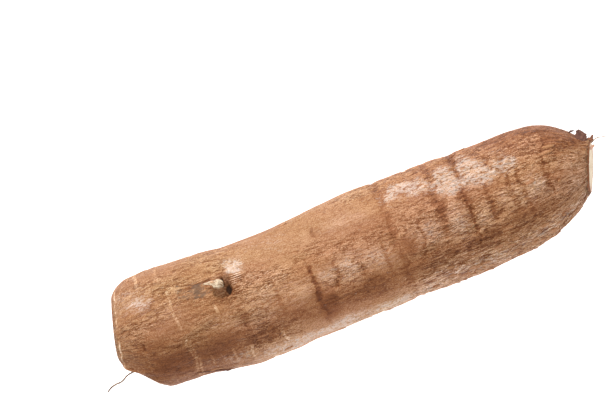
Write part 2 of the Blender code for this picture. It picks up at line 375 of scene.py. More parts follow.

# Browner and paler places, partly the bark's own colour, where it is thicker or bruised, thin or dusty, and
# partly painted light: painted shade in the dark band low on the side towards -Y and beside the rings, and
# a painted reflection of the floor, with dust, along the lower edge. The same again, and how many times
# half as bright. Below 0 is paler.
BARK_TONE_AND_PAINTED_LIGHT = (
    (12.3, -31, 8, 18, 0.5), (29.5, -46, 18, 18, 1.2), (51.1, -46, 16, 15, 1.1), (76.8, -41, 12, 10, 0.8),
    (117.1, -41, 7, 16, 1.1), (100.4, -40, 10, 9, 0.5), (139.7, -38, 22, 10, 0.7),
    (171.1, -36, 14, 11, 0.65), (167, -7, 3.5, 12, 0.7), (188.5, 13, 3.5, 20, 0.65),
    (189.8, 41, 3, 12, 0.6), (204.6, 3, 2.4, 22, 0.5), (214.8, -2, 3, 18, 0.5), (203.5, -34, 22, 10, 0.8),
    (233.8, -29, 16, 13, 0.55), (248.2, 18, 3, 27, 0.3), (261.3, 77, 10, 16, 0.9),
    (239.4, 77, 24, 12, 0.9), (69.3, 7, 7, 10, 0.6), (71.2, 27, 3, 10, 0.5), (203.2, 21, 3, 10, 0.4),
    (219.9, 22, 4, 8, 0.4), (180.9, 34, 8, 7, 0.4), (124, 42, 3, 6, 0.3), (90, 100, 30, 20, 0.6),
    (180, -140, 34, 22, 0.6), (40, -150, 22, 24, 0.6), (220, 100, 24, 18, 0.5),
    (105.1, -79, 40, 18, -0.8), (151.9, -77, 30, 17, -0.7), (36.6, -73, 28, 18, 0.7),
    (129.9, -10, 12, 8, -0.3), (264.6, -4, 8, 44, -0.3), (100.6, 17, 10, 10, -0.2), (70.5, 33, 5, 8, 0.6),
    (259.7, 45, 10, 14, 0.75), (245.3, 77, 18, 14, 0.5), (134.8, 27, 30, 12, 0.22),
    (204.1, 62, 26, 12, 0.2), (24.2, -22, 9, 8, 0.5), (27, 33, 8, 7, 0.4), (66.3, 27, 5, 6, 0.5),
    (80.7, -48, 12, 12, 0.95),
    (162.1, 12, 3, 8, 0.5), (177.2, 49, 8, 6, 0.5), (219.8, -13, 4, 8, 0.5), (183.7, -25, 6, 8, 0.6),
    (239.3, 75, 8, 9, 0.55), (266.9, 52, 5, 10, 0.9), (49.7, -16, 8, 8, -0.3), (88.9, -1, 7, 8, -0.35),
    (105.4, -16, 8, 8, -0.35), (242.2, 3, 6, 7, -0.35), (260.4, -58, 6, 12, -0.35),
    (164.6, -60, 8, 10, -0.35), (188.5, -6, 5, 10, -0.2),
)
bark_tone_and_painted_light = patches(BARK_TONE_AND_PAINTED_LIGHT).max(axis=0) + patches(BARK_TONE_AND_PAINTED_LIGHT).min(axis=0)
# Darker towards the tail and a little from the middle on, and painted shade that goes by side: a band low
# on the side towards -Y and the upper side darker, and the lower side towards the stem paler.
bark_tone_and_painted_light += 0.32 * ramp(along, 95, 45) + 0.14 * hump(degrees, -30, 18)
bark_tone_and_painted_light += 0.1 * ramp(along, 70, 90) - 0.1 * ramp(along, 150, 170) * ramp(degrees, 20, -10)
bark_tone_and_painted_light += 0.2 * ramp(degrees, 40, 65) * ramp(degrees, 135, 105)
bark_tone_and_painted_light += 0.16 * ramp(along, 150, 170) * ramp(degrees, 30, 50) * ramp(degrees, 135, 105)
stain = patches(((54.5, 25, 5, 13, 0.85), (47.5, 26, 5, 10, 0.62), (57, 16, 3.4, 5, 0.9))).max(axis=0)

# The upper side towards the tail is more golden, and long stripes of fibre show low down towards the stem.
golden = ramp(degrees, 10, 45) * ramp(degrees, 150, 120) * ramp(along, 185, 125)
golden = np.maximum(golden, 0.4 * ramp(along, 100, 60))
striped = ramp(along, 140, 180) * hump(degrees, -60, 22)

# The pit of the side root, with the slit beside its stub, and fine wrinkles on the side towards the stem.
# The pit and the slit are painted dark as well as dug in: painted shade.
on_top = skin[..., 2] > TOP_SIDE
ahead, aside = skin[..., 0], skin[..., 1] + 0.25 * grown(3, 3, 16)
# Each pit's darkness is painted shade, darkest in the slit beside the stub and in the deep corner.
PITS = (  # along and across, half length and half width, depth in mm, and how dark
    (-71.7, 13.4, 0.9, 1.9, 1.6, 0.95), (-69.6, 8.6, 1.7, 2.4, 1.7, 1.0), (-73.1, 8.9, 5.0, 3.7, 1.9, 0.3),
)
pit_shade_and_darker_bark = np.zeros_like(along)
for x, y, half_length, half_width, depth, darkness in PITS:
    oval = ((ahead - x) / half_length) ** 2 + ((aside - y) / half_width) ** 2
    dug = ramp(oval, 1.3, 0.7) * on_top
    relief -= depth * dug
    pit_shade_and_darker_bark = np.maximum(pit_shade_and_darker_bark, darkness * dug)
# Beside the pit, towards the stem, the bark is darker.
pit_shade_and_darker_bark = np.maximum(pit_shade_and_darker_bark, 0.5 * plateau(ahead, -69.9, 3.0) * plateau(aside, 12.6, 3.6) * on_top)
PIT_BACK = -74  # the last and widest pit has a raised rim in front of this, in mm along X
relief += 0.45 * hump(np.sqrt(oval), 1.35, 0.16) * on_top * (ahead > PIT_BACK)
split = hump(aside, 16.7, 0.55) * ramp(ahead, -94, -91) * ramp(ahead, -76, -78) * on_top
relief -= 0.25 * split
ripples = plateau(ahead, -64.2, 3.4) * plateau(aside, 12.8, 2.8) * on_top

# The root is a little fuller on the side towards -Y, and most of all by the tail cut.
DEEPEST, HIGHEST = -3.6, 0.5
relief = relief.clip(DEEPEST, HIGHEST) + 0.8 * hump(degrees, -86, 32)
relief += 1.3 * hump(along, 17, 7) * hump(degrees, -62, 20)
skin = skin + facing * relief[..., None]
from_tail = np.cumsum(np.linalg.norm(np.diff(skin, axis=0, prepend=skin[:1]), axis=-1), axis=0)
from_stem = from_tail[-1] - from_tail

# The knife tore the bark: it is turned in at both rims, and frayed back from the stem cut here and there.
skin -= facing * (0.7 * np.exp(-from_tail / 1.1) + 0.5 * np.exp(-from_stem / 0.9))[..., None]
frayed = (0.3 + 0.45 * grown(4, 2.5, 21)[-1]).clip(0, 1.1)
skin[..., 0] -= frayed * hump(from_stem, 0, 3.0)
skin[..., 2] = np.maximum(skin[..., 2], 0.0)  # it is flat where it rests

# A narrow band at each rim lost its outer bark, and is torn and pale.
stem_width = 0.7 + 0.3 * grown(6, 9, 22)[-1] + 0.3 * grown(6, 2, 26)[-1] + 1.5 * hump(degrees[-1], -42, 16)
tail_width = 1.0 + 0.45 * grown(6, 5, 23)[0] + 0.5 * hump(degrees[0], -5, 22)
torn = np.maximum(ramp(from_stem - stem_width.clip(0.2, 3.2), 0.35, -0.35),
                  ramp(from_tail - tail_width.clip(0.3, 2.0), 0.35, -0.35))
PALE_LINE = 3.1  # how far a pale line, where the bark is bared, runs from the tail rim
bared = ramp(0.35 + 0.4 * grown(9, 9, 24)[0] + hump(degrees[0], -42, 34))
pale = np.maximum(pale, bared * hump(from_tail, PALE_LINE, 1.2))
from_pale = np.minimum(from_pale, abs(from_tail - PALE_LINE - 0.5 * grown(7, 7, 25)) / 0.5)

# Both ends turn in over the cut as a thin lip, and close inside the root under the flesh.
LIP = 0.35
rim_tail, rim_stem = skin[0].copy(), skin[-1].copy()


def drawn_in(rim, middle, inset, depth, inward):
    """A rim moved this far towards its middle and this far into the root."""
    out = rim - middle
    size = np.linalg.norm(out, axis=-1, keepdims=True)
    return middle + out * np.maximum(size - inset, 0) / size + inward * depth


tail_rows = [drawn_in(rim_tail, tail_point, inset, depth, -tail_cut[0])
             for inset, depth in ((6, 3.4), (1.0, 3.2), (LIP, 2.8), (LIP, 0.0))]
stem_rows = [drawn_in(rim_stem, stem_point, inset, depth, -stem_cut[0])
             for inset, depth in ((LIP, 0.0), (LIP, 2.8), (1.0, 3.2), (6, 3.4))]
points = np.concatenate((tail_rows, skin, stem_rows))


def tube_mesh(name, points):
    """A closed mesh on rings of points: quads from ring to ring, and a fan of triangles at each end."""
    rings, columns = points.shape[:2]
    ring, column = np.meshgrid(np.arange(rings - 1), np.arange(columns), indexing="ij")
    beside = (column + 1) % columns
    quads = np.stack((ring * columns + column, (ring + 1) * columns + column,
                      (ring + 1) * columns + beside, ring * columns + beside), axis=-1)
    count, last = rings * columns, (rings - 1) * columns
    faces = quads.reshape(-1, 4).tolist()
    faces += [(count, c, (c + 1) % columns) for c in range(columns)]
    faces += [(count + 1, last + (c + 1) % columns, last + c) for c in range(columns)]
    corners = np.concatenate((points.reshape(-1, 3), [points[0].mean(axis=0), points[-1].mean(axis=0)]))
    mesh = bpy.data.meshes.new(name)
    mesh.from_pydata((corners * MM).tolist(), [], faces)
    mesh.shade_smooth()
    return mesh


bark_mesh = tube_mesh("bark", points)


def mark(mesh, name, values):
    """Stores a value for each point of a tube mesh, which the finish reads. A grain is three values."""
    kind, field = ("FLOAT_VECTOR", "vector") if name == "grain" else ("FLOAT", "value")
    values = np.concatenate([np.ravel(part) for part in (values, values[0, 0], values[-1, 0])])
    mesh.attributes.new(name, kind, "POINT").data.foreach_set(field, values)


def with_lips(grid):
    """A value over the bark, carried on over the lips."""
    return np.concatenate(([grid[0]] * 4, grid, [grid[-1]] * 4))


grain = np.stack((along, GIRTH * np.sin(turn) + 0 * along, GIRTH * np.cos(turn) + 0 * along), axis=-1)
stored_values = {
    "grain": grain, "dark": dark, "from_dark": from_dark, "pale": pale, "from_pale": from_pale,
    "bloom_and_painted_highlight": bloom_and_painted_highlight, "smooth": smooth, "bark_tone_and_painted_light": bark_tone_and_painted_light, "stain": stain, "golden": golden,
    "striped": striped, "wrinkle": wrinkles.clip(0, 1), "rough_place": rough_places,
    "pit_shade_and_darker_bark": pit_shade_and_darker_bark, "split": split, "ripples": ripples, "torn": torn,
}
for name, values in stored_values.items():
    mark(bark_mesh, name, with_lips(values))


def placed(name, data):
    """A mesh, lamp or camera as an object of this name in the scene."""
    made = bpy.data.objects.new(name, data)
    bpy.context.scene.collection.objects.link(made)
    return made


bark = placed("bark", bark_mesh)


def put(tree, kind, sockets, **settings):
    """Adds a shader node. A socket takes a number, a colour or another node's output."""
    made = tree.nodes.new("ShaderNode" + kind)
    for setting, value in settings.items():
        setattr(made, setting, value)
    for socket, value in sockets.items():
        if isinstance(value, bpy.types.NodeSocket):
            tree.links.new(value, made.inputs[socket])
        else:
            made.inputs[socket].default_value = value
    return made.outputs[2] if kind == "Mix" else made.outputs[0]


def rgb(red, green, blue):
    """A colour as it is mixed for paint, 0 to 255, as the shader's own linear values."""
    return tuple(((c / 255 + 0.055) / 1.055) ** 2.4 for c in (red, green, blue)) + (1.0,)


def stored(tree, name):
    """A value that mark() stored."""
    made = tree.nodes.new("ShaderNodeAttribute")
    made.attribute_name = name
    return made.outputs["Vector" if name == "grain" else "Fac"]


def speckle(tree, place, size, detail=3.0, roughness=0.55):
    """Noise whose spots are this long along, across and up, in mm."""
    scaled = put(tree, "Mapping", {"Vector": place, "Scale": tuple(1 / s for s in size)})
    return put(tree, "TexNoise", {"Vector": scaled, "Scale": 1.0, "Detail": detail, "Roughness": roughness})


def spread(tree, value, low, high, to_low=0.0, to_high=1.0):
    """A value stretched from one range over another, and held at its ends."""
    return put(tree, "MapRange", {"Value": value, "From Min": low, "From Max": high,
                                  "To Min": to_low, "To Max": to_high})


def times(tree, first_value, second_value, operation="MULTIPLY"):
    """Two values multiplied, or joined by another operation."""
    return put(tree, "Math", {0: first_value, 1: second_value}, operation=operation)


def over(tree, amount, below, above, blend="MIX"):
    """One colour laid over another by this amount."""
    return put(tree, "Mix", {0: amount, 6: below, 7: above}, data_type="RGBA", blend_type=blend)


def add_up(tree, total, *terms):
    """A start value plus each term's value times its weight."""
    for value, weight in terms:
        total = put(tree, "Math", {0: value, 1: weight, 2: total}, operation="MULTIPLY_ADD")
    return total


def two_tone(tree, pattern, low, high, low_colour, high_colour):
    """One colour where a pattern is low and another where it is high."""
    return over(tree, spread(tree, pattern, low, high), rgb(*low_colour), rgb(*high_colour))


def tones(tree, value, *stops):
    """A run of colours, each with where it stands: the first at 0 and the last at 1."""
    made = put(tree, "ValToRGB", {"Fac": value}).node
    ends = made.color_ramp.elements
    ends[0].color, ends[1].color = rgb(*stops[0][1]), rgb(*stops[-1][1])
    for at, colour in stops[1:-1]:
        ends.new(at).color = rgb(*colour)
    return made.outputs["Color"]


def dark_lines(tree, pattern, narrow, wide):
    """Thin wandering lines where a pattern crosses its middle: 1 on a line, 0 between lines."""
    off = put(tree, "Math", {0: times(tree, pattern, 0.5, "SUBTRACT")}, operation="ABSOLUTE")
    return spread(tree, off, narrow, wide, 1.0, 0.0)


def ragged(tree, amount, pattern, edge):
    """A patch with a ragged edge: all of it where the stored amount is 1, and flecks where it is less."""
    level = 0.82
    return spread(tree, add_up(tree, pattern, (amount, 0.5)), level - edge, level + edge)


def new_finish(name):
    """A material, its tree of nodes and its shader."""
    made = bpy.data.materials.new(name)
    made.use_nodes = True
    return made, made.node_tree, made.node_tree.nodes["Principled BSDF"]


def join(tree, shader, colour, dull, height, strength, depth):
    """Joins a finish's colour, dullness and relief to its shader. depth is the relief's, in mm."""
    bump = put(tree, "Bump", {"Height": height, "Strength": strength, "Distance": depth * MM})
    for socket, value in (("Base Color", colour), ("Roughness", dull), ("Normal", bump)):
        tree.links.new(value, shader.inputs[socket])


def bark_finish():
    made, tree, shader = new_finish("bark")
    place = stored(tree, "grain")
    scaled = put(tree, "Mapping", {"Vector": place, "Scale": (0.12,) * 3})
    swirl = put(tree, "TexNoise", {"Vector": scaled, "Scale": 1.0, "Detail": 2.0})
    wavy = put(tree, "VectorMath", {0: swirl.node.outputs["Color"], 1: (3.0, 2.4, 2.4), 2: place},
               operation="MULTIPLY_ADD")

    strong = stored(tree, "rough_place")
    fibres = over(tree, strong, speckle(tree, wavy, (2.4, 1.9, 1.9), 4.0, 0.6),
                  speckle(tree, wavy, (4.0, 1.3, 1.3), 4.0, 0.62))
    ticks = over(tree, strong, speckle(tree, wavy, (0.95, 0.8, 0.8), 3.0, 0.6),
                 speckle(tree, wavy, (2.0, 0.6, 0.6), 3.0, 0.6))
    grit = speckle(tree, place, (0.6, 0.5, 0.5), 1.0, 0.5)
    flakes = speckle(tree, wavy, (3.4, 2.0, 2.0), 5.0, 0.75)
    mottle = speckle(tree, place, (15.0, 10.0, 10.0), 4.0, 0.62)
    clouds = speckle(tree, place, (40.0, 26.0, 26.0), 2.0)
    seams = dark_lines(tree, speckle(tree, wavy, (10.0, 2.0, 2.0), 3.0, 0.55), 0.012, 0.055)
    seams = times(tree, seams, spread(tree, flakes, 0.42, 0.52))
    curls = dark_lines(tree, speckle(tree, wavy, (9.0, 1.4, 1.4), 3.0, 0.5), 0.006, 0.035)
    curls = times(tree, curls, spread(tree, mottle, 0.46, 0.62))
    # Fine ripples beside the pit: a bump, and painted light and dark lines across them.
    waves = put(tree, "TexWave", {"Vector": place, "Scale": 0.24, "Distortion": 0.8, "Detail": 1.0},
                bands_direction="Y").node.outputs["Fac"]
    waves = times(tree, times(tree, waves, 0.5, "SUBTRACT"), stored(tree, "ripples"))
    stripes = speckle(tree, wavy, (8.0, 0.9, 0.9), 2.0, 0.5)
    stripes = times(tree, times(tree, stripes, 0.5, "SUBTRACT"), stored(tree, "striped"))
    jagged = times(tree, ticks, 0.5, "SUBTRACT")
    dark_ring = add_up(tree, 0.0, (jagged, 3.0), (stored(tree, "from_dark"), 1.0))
    dark_ring = times(tree, stored(tree, "dark"), spread(tree, dark_ring, 1.35, 0.55))
    pale_ring = add_up(tree, 0.0, (jagged, 1.4), (stored(tree, "from_pale"), 1.0))
    pale_ring = times(tree, stored(tree, "pale"), spread(tree, pale_ring, 1.3, 0.7))

    # The waxy bloom, partly a painted highlight, is ragged at its edges, and worn through in specks.
    bloom_and_highlight_place = stored(tree, "bloom_and_painted_highlight")
    scales = speckle(tree, wavy, (2.8, 1.2, 1.2), 3.0, 0.7)
    worn = times(tree, speckle(tree, place, (1.8, 1.3, 1.3), 3.0, 0.65), 0.53, "SUBTRACT")
    flecks = add_up(tree, -0.65, (grit, 0.3), (flakes, 0.9), (scales, 1.1),
                    (times(tree, worn, bloom_and_highlight_place), 2.2))
    waxed_and_highlit = ragged(tree, bloom_and_highlight_place, flecks, 0.14)
    waxed_and_highlit = times(tree, waxed_and_highlit, spread(tree, bloom_and_highlight_place, 0.4, 0.8, 0.5, 1.0))

    # How much brighter than usual the bark is, in doublings, and then the colour of bark that bright. Part
    # of it is painted light: the painted shade and reflection, the bloom's highlight, the smooth places'
    # sheen and the ripples' light and dark lines.
    calm = spread(tree, waxed_and_highlit, 0.0, 1.0, 1.0, 0.6)
    amount = times(tree, spread(tree, strong, 0.0, 1.0, 0.7, 1.15), calm)
    pits = spread(tree, speckle(tree, place, (0.9, 0.55, 0.55), 2.0, 0.55), 0.32, 0.44, 1.0, 0.0)
    specks = add_up(tree, 0.16 - 0.5 * (0.35 + 0.8 + 2.7), (fibres, 0.35), (ticks, 0.8), (grit, 2.7),
                    (pits, -1.1))
    lines = add_up(tree, 0.0, (seams, -1.0), (curls, -1.1), (stored(tree, "wrinkle"), -0.35))
    line_amount = times(tree, spread(tree, strong, 0.0, 1.0, 0.3, 1.3), calm)
    tone = add_up(tree, -0.83, (strong, 0.5), (mottle, 0.55), (stored(tree, "bark_tone_and_painted_light"), -1.0),
                  (specks, amount), (lines, line_amount), (waves, -3.0), (stripes, 5.5),
                  (dark_ring, -1.35), (pale_ring, 1.6), (waxed_and_highlit, 0.42),
                  (stored(tree, "smooth"), 0.15), (stored(tree, "split"), -1.4))
    darkest, brightest = -4.0, 1.3
    colour = tones(tree, spread(tree, tone, darkest, brightest), (0.0, (75, 31, 6)),
                   (0.377, (125, 69, 31)), (0.566, (159, 102, 60)), (0.755, (201, 152, 110)),
                   (0.906, (237, 200, 168)), (1.0, (249, 230, 209)))
    tint = over(tree, spread(tree, clouds, 0.4, 0.6), (1.015, 1.0, 0.98, 1.0), (1.02, 0.985, 1.05, 1.0))
    colour = over(tree, 1.0, colour, tint, "MULTIPLY")
    gilded = over(tree, 1.0, colour, (1.01, 1.15, 1.19, 1.0), "MULTIPLY")
    colour = over(tree, stored(tree, "golden"), colour, gilded)

    # What lies on the bark, or shows where it has gone, and the painted highlight, sheen and shade laid
    # over it.
    # The bloom's pale colour is partly wax and partly a painted highlight.
    wax_and_highlight = two_tone(tree, ticks, 0.36, 0.6, (206, 175, 152), (228, 216, 208))
    colour = over(tree, times(tree, waxed_and_highlit, 0.6), colour, wax_and_highlight)
    # Painted sheen: pale pink streaks over the smooth places.
    streaks = spread(tree, speckle(tree, wavy, (4.5, 0.6, 0.6), 3.0, 0.6), 0.5, 0.68)
    sheen = times(tree, times(tree, streaks, stored(tree, "smooth")), 0.45)
    colour = over(tree, sheen, colour, rgb(238, 196, 176))
    stained = times(tree, ragged(tree, stored(tree, "stain"), flecks, 0.12), 0.8)
    colour = over(tree, stained, colour, rgb(116, 90, 70))
    # Painted shade in the pit and the slit, and the darker bark beside them.
    colour = over(tree, stored(tree, "pit_shade_and_darker_bark"), colour, rgb(62, 34, 14))
    inner_bark = two_tone(tree, ticks, 0.4, 0.6, (96, 56, 32), (196, 150, 108))
    colour = over(tree, stored(tree, "torn"), colour, inner_bark)

    dull = add_up(tree, 0.0, (spread(tree, grit, 0.35, 0.65, 0.66, 0.5), 1.0),
                  (stored(tree, "smooth"), -0.26), (waxed_and_highlit, -0.06))
    shader.inputs["Specular IOR Level"].default_value = 0.3
    height = add_up(tree, 0.0, (fibres, 0.8), (ticks, 0.7), (grit, 0.4), (seams, -0.7), (curls, -0.5),
                    (waves, -0.5))
    join(tree, shader, colour, dull, height, spread(tree, strong, 0.0, 1.0, 0.35, 0.75), depth=0.7)
    return made


bark_mesh.materials.append(bark_finish())
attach(bark, "root")
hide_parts("cassava_root")

# ----------------------------------------
# The flesh at the knife cuts. White starchy flesh round a fine woody string, inside a pinkish rind; a
# knife cut it across, and it dried and shrank a little. Each face is one with the root behind it.
FLESH_RINGS = 52
RIND = 2.1  # how thick the rind is, in mm
CRACKS = 9  # drying cracks in each face


def cut_face(name, rim, middle, on_end, inward, sunk, seed):
    """The flesh at one end, this far below the cut, in mm. inward is +1 or -1, the way in along X."""
    draw = np.random.default_rng(seed)
    out = rim - middle
    size = np.linalg.norm(out[:, 1:], axis=-1)
    share = 1 - np.linspace(0, 1, FLESH_RINGS)[:, None] ** 1.3 * 0.985
    inset = LIP - 0.05 + (1 - share) * (size - LIP)
    radius = np.maximum(size - inset, 0.0)
    face = middle + out * (radius / size)[..., None]
    depth = sunk + 0.45 * (1 - share ** 2) + 0.22 * hump(inset, RIND, 0.22)
    depth = depth + 0.35 * hump(radius, 0, 0.9) - 0.2 * hump(radius, 1.4, 0.5)
    for _ in range(CRACKS):
        crack_turn, crack_from, crack_to = draw.uniform(-180, 180), draw.uniform(3, 8), draw.uniform(9, 18)
        bent = np.degrees(turn) + 3 * np.sin(radius / 2.5 + crack_turn)
        aside = turns_from(crack_turn, bent) * np.radians(1) * radius
        within = ramp(radius, crack_from, crack_from + 2) * ramp(radius, crack_to, crack_to - 3)
        depth = depth + 0.3 * hump(aside, 0, 0.3) * within
    swept = face[..., 1] * math.cos(0.5) + face[..., 2] * math.sin(0.5)
    depth = depth + 0.035 * np.sin(swept * 4.2 + np.sin(swept * 0.9) * 3)
    face[..., 0] = on_end(face[..., 1], face[..., 2]) + inward * depth
    back = [drawn_in(rim, middle, skirt, 0.0, np.zeros(3)) for skirt in (LIP - 0.05, 1.0, 6.0)]
    for ring, behind in zip(back, (2.6, 3.0, 3.1)):
        ring[:, 0] = on_end(ring[:, 1], ring[:, 2]) + inward * behind
    # The rings of the face and of its skirt are laid in order along +X, as the tube wants them.
    mesh = tube_mesh(name, np.concatenate((face[::-1], back))[::inward])
    rays = np.stack((radius, 14 * np.cos(turn) + 0 * radius, 14 * np.sin(turn) + 0 * radius), axis=-1)
    skirt_inset, skirt_rays = np.zeros((3, COLUMNS)), np.repeat(rays[:1], 3, axis=0)
    mark(mesh, "inset", np.concatenate((inset[::-1], skirt_inset))[::inward])
    mark(mesh, "grain", np.concatenate((rays[::-1], skirt_rays))[::inward])
    mesh.materials.append(flesh)
    made = placed(name, mesh)
    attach(made, "root")
    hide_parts("cassava_root")


def place_in_mm(tree, turned=0.0):
    """Where a point of a piece is, in mm, with the axes turned about the upright by this many degrees."""
    here = put(tree, "TexCoord", {}).node.outputs["Object"]
    return put(tree, "Mapping", {"Vector": here, "Rotation": (0, 0, math.radians(turned)),
                                 "Scale": (1 / MM,) * 3})


def flesh_finish():
    made, tree, shader = new_finish("flesh")
    place = place_in_mm(tree)
    rays = speckle(tree, stored(tree, "grain"), (5.0, 0.5, 0.5), 3.0, 0.6)
    starch = speckle(tree, place, (0.7, 0.7, 0.7), 3.0, 0.6)
    cloudy = speckle(tree, place, (5.0, 5.0, 5.0), 3.0)
    specks = speckle(tree, place, (0.45, 0.45, 0.45), 1.0)
    inset = stored(tree, "inset")
    colour = two_tone(tree, cloudy, 0.35, 0.65, (224, 196, 158), (243, 224, 194))
    colour = over(tree, spread(tree, rays, 0.5, 0.3, 0.0, 0.5), colour, rgb(206, 170, 124))
    colour = over(tree, spread(tree, starch, 0.5, 0.75, 0.0, 0.5), colour, rgb(250, 238, 218))
    colour = over(tree, spread(tree, specks, 0.66, 0.74, 0.0, 0.6), colour, rgb(176, 136, 92))
    ring = put(tree, "Math", {0: inset, 1: RIND, 2: 0.3}, operation="COMPARE")
    colour = over(tree, times(tree, ring, 0.8), colour, rgb(172, 120, 82))
    colour = over(tree, spread(tree, inset, RIND - 0.2, RIND - 0.5, 0.0, 0.7), colour, rgb(232, 190, 160))
    colour = over(tree, spread(tree, inset, 0.75, 0.45), colour, rgb(150, 92, 56))
    height = add_up(tree, starch, (rays, 0.6))
    join(tree, shader, colour, spread(tree, starch, 0.3, 0.7, 0.5, 0.75), height, strength=0.6, depth=0.25)
    return made


flesh = flesh_finish()
cut_face("tail_cut_flesh", rim_tail, tail_point, on_tail, inward=1, sunk=0.15, seed=61)
cut_face("stem_cut_flesh", rim_stem, stem_point, on_stem, inward=-1, sunk=-0.5, seed=62)

# ----------------------------------------
# The stub of a side root. A short, pale, half-peeled rootlet that was snapped off in its pit; it
# grows out of the bark, lies over to one side, and ends in a dry tip.
STUB_MM = (  # points along it, and its radius at each
    ((-73.8, 12.2, 53.8), 1.9), ((-73.9, 12.6, 56.2), 2.4), ((-74.1, 13.0, 58.0), 2.65),
    ((-75.2, 13.4, 58.9), 2.5), ((-76.6, 14.5, 59.1), 1.45), ((-78.7, 15.1, 58.6), 0.85),
    ((-80.6, 15.5, 57.8), 0.45), ((-81.8, 15.7, 57.3), 0.2),
)


def through(places, count):
    """Points and radii on a smooth line through the given places."""
    known = np.array([(*place, radius) for place, radius in places], dtype=float)
    known = np.concatenate((2 * known[:1] - known[1:2], known, 2 * known[-1:] - known[-2:-1]))
    steps = np.linspace(0, len(places) - 1, count)
    index = np.minimum(steps.astype(int), len(places) - 2)
    part = (steps - index)[:, None]
    a, b, c, d = (known[index + i] for i in range(4))
    line = b + part / 2 * (c - a + part * (2 * a - 5 * b + 4 * c - d + part * (3 * (b - c) + d - a)))
    return line[:, :3], line[:, 3]


def rootlet(name, places, rings, sides, knots, seed, square=0.0):
    """A thin root round a line of places. knots and square: how far its skin is uneven and squared off."""
    line, radii = through(places, rings)
    ahead = np.gradient(line, axis=0)
    ahead /= np.linalg.norm(ahead, axis=-1, keepdims=True)
    across = np.cross(ahead, (0.0, 0.0, 1.0))
    across /= np.linalg.norm(across, axis=-1, keepdims=True)
    up = np.cross(across, ahead)
    round_it = np.linspace(0, 2 * math.pi, sides, endpoint=False)
    uneven = np.random.default_rng(seed).standard_normal((rings, sides))
    for _ in range(3):
        uneven = (uneven + np.roll(uneven, 1, 1) + np.roll(uneven, -1, 1)) / 3
        uneven[1:-1] = (uneven[2:] + uneven[:-2] + 2 * uneven[1:-1]) / 4
    size = radii[:, None] * (1 + knots * uneven / uneven.std() - square * np.cos(4 * round_it))
    spokes = across[:, None] * np.cos(round_it)[:, None] + up[:, None] * np.sin(round_it)[:, None]
    points = line[:, None] + spokes * size[..., None]
    mesh = tube_mesh(name, points)
    length = np.cumsum(np.linalg.norm(np.diff(line, axis=0, prepend=line[:1]), axis=-1))
    spread_out = (length[:, None] + 0 * size, size * np.cos(round_it), size * np.sin(round_it))
    mark(mesh, "grain", np.stack(spread_out, axis=-1))
    return placed(name, mesh)


def rootlet_finish(name, inner, skin_colour, peel, roughness):
    """Pale wood fibre with what is left of a browner skin over it: peel is how much is left, 0 to 1."""
    made, tree, shader = new_finish(name)
    place = stored(tree, "grain")
    fibres = speckle(tree, place, (2.4, 0.35, 0.35), 3.0, 0.6)
    spots = speckle(tree, place, (2.2, 1.3, 1.3), 3.0, 0.65)
    colour = two_tone(tree, fibres, 0.35, 0.65, [c * 0.82 for c in inner], inner)
    left = spread(tree, spots, 0.62 - 0.3 * peel, 0.72 - 0.3 * peel)
    skin_left = two_tone(tree, fibres, 0.4, 0.6, [c * 0.7 for c in skin_colour], skin_colour)
    colour = over(tree, times(tree, left, 0.85), colour, skin_left)
    dull = spread(tree, fibres, 0.3, 0.7, roughness + 0.1, roughness - 0.1)
    join(tree, shader, colour, dull, times(tree, fibres, left, "ADD"), strength=0.6, depth=0.25)
    return made


stub = rootlet("side_root_stub", STUB_MM, rings=64, sides=36, knots=0.06, seed=71, square=0.07)
stub.data.materials.append(rootlet_finish("peeled_stub", (250, 226, 192), (206, 150, 104), 0.6, 0.5))
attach(stub, "root")
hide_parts("cassava_root")

# ----------------------------------------
# The dry hairs. A fine hair root that still hangs at the tail cut, and a single fibre of the old stalk
# at the stem cut. Both are dead, brittle, and grew out of the root under its bark.
TAIL_HAIR_MM = (
    ((-132.4, -14.2, 27.7), 0.5), ((-134.7, -14.8, 27.9), 0.46), ((-137.4, -15.1, 28.0), 0.44),
    ((-139.6, -15.7, 27.9), 0.44), ((-141.4, -16.7, 27.6), 0.44), ((-143.6, -17.6, 27.1), 0.45),
    ((-146.2, -17.7, 26.6), 0.45), ((-148.6, -18.1, 26.1), 0.46), ((-150.8, -19.0, 25.6), 0.46),
    ((-152.4, -20.2, 25.2), 0.36),
)
STEM_FIBRE_MM = (
    ((136.0, 9.2, 39.4), 0.34), ((138.6, 9.8, 40.2), 0.32), ((140.2, 10.4, 40.5), 0.3),
    ((141.8, 10.7, 40.6), 0.28), ((143.6, 10.4, 40.6), 0.25), ((145.2, 10.1, 40.5), 0.22),
    ((146.6, 9.5, 40.3), 0.18), ((147.5, 9.1, 40.2), 0.12),
)
dry_hair = rootlet_finish("dry_hair", (164, 134, 110), (118, 88, 66), 0.6, 0.6)
pale_fibre = rootlet_finish("pale_fibre", (198, 166, 138), (140, 104, 78), 0.4, 0.6)
for name, places, finish, seed in (("tail_hair_root", TAIL_HAIR_MM, dry_hair, 72),
                                   ("stem_fibre", STEM_FIBRE_MM, pale_fibre, 73)):
    hair = rootlet(name, places, rings=110, sides=12, knots=0.06, seed=seed)
    hair.data.materials.append(finish)
    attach(hair, "root")
    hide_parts("cassava_root")

